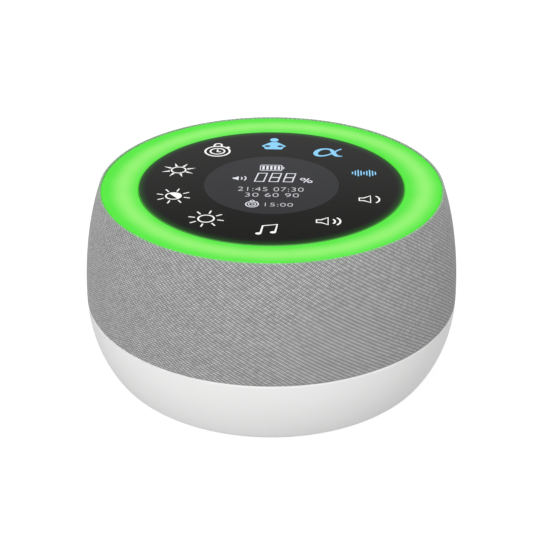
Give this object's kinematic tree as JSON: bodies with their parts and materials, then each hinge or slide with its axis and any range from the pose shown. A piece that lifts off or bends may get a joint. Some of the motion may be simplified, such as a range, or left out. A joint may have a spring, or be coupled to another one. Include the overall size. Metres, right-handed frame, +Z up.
{
  "type": "white noise sound machine",
  "caption": "Round bedside sound machine: white bowl base, grey cloth speaker wall and a lit touch panel with a central display on top.",
  "frame": {"origin": "centre of the foot ring's underside, where the machine stands", "axes": "+Z up through the touch panel; the front faces -Y, the socket and power button face +Y"},
  "size_m": [0.12, 0.12, 0.0628],
  "materials": {
    "base_white": "satin white moulded plastic",
    "button_white": "white moulded button",
    "foot_rubber": "soft grey rubber",
    "sleeve_fabric": "grey woven speaker cloth",
    "grille_black": "black moulded plastic",
    "deck_white": "white moulded plastic",
    "ring_glow": "translucent ring, lit green from below",
    "lens_black": "black touch panel",
    "window_smoke": "smoked display window",
    "board_green": "solder-masked circuit board",
    "chip_black": "moulded chip cases",
    "connector_cream": "nylon connectors",
    "led_white": "light-emitting diode cases",
    "steel_bright": "plated steel",
    "steel_dark": "black painted steel",
    "ferrite": "sintered ferrite",
    "cone_paper": "pressed paper cone",
    "edge_rubber": "soft rubber edge",
    "spider_cloth": "resin-dipped cloth",
    "copper": "enamelled copper winding",
    "foam_grey": "closed-cell foam",
    "cell_blue": "film-wrapped cell",
    "cable_white": "flat flexible cable"
  },
  "bodies": {
    "root": {"base_shell": "base_white", "foot_ring": "foot_rubber", "base_screws": "steel_bright", "battery_pad": "foam_grey", "battery_cell": "cell_blue", "main_board": "board_green", "board_chips": "chip_black", "board_connectors": "connector_cream", "board_screws": "steel_bright", "usb_socket": "steel_bright", "usb_tongue": "chip_black", "power_switch": "chip_black", "speaker_baffle": "grille_black", "speaker_gasket": "foam_grey", "speaker_basket": "steel_dark", "speaker_top_plate": "steel_bright", "speaker_magnet": "ferrite", "speaker_yoke": "steel_bright", "speaker_surround": "edge_rubber", "speaker_spider": "spider_cloth", "speaker_screws": "steel_dark", "grille_shell": "grille_black", "fabric_sleeve": "sleeve_fabric", "top_deck": "deck_white", "sound_deflector": "grille_black", "deflector_screw": "steel_dark", "ring_board": "board_green", "ring_leds": "led_white", "light_ring": "ring_glow", "touch_board": "board_green", "icon_leds": "led_white", "light_wells": "deck_white", "deck_screws": "steel_bright", "display_module": "chip_black", "touch_lens": "lens_black", "display_window": "window_smoke", "flat_cable": "cable_white"},
    "power_button": {"power_button": "button_white", "switch_plunger": "connector_cream"},
    "cone_assembly": {"voice_coil": "copper", "speaker_cone": "cone_paper", "dust_cap": "cone_paper"}
  },
  "joints": [
    {"name": "power_press", "type": "slide", "parent": "root", "child": "power_button", "axis": [0, -1, 0], "range_m": [0, 0.0004], "stiffness_N_per_m": 3000},
    {"name": "cone_travel", "type": "slide", "parent": "root", "child": "cone_assembly", "axis": [0, 0, 1], "range_m": [-0.002, 0.002], "stiffness_N_per_m": 1400, "deforming": ["speaker_surround", "speaker_spider"]}
  ]
}
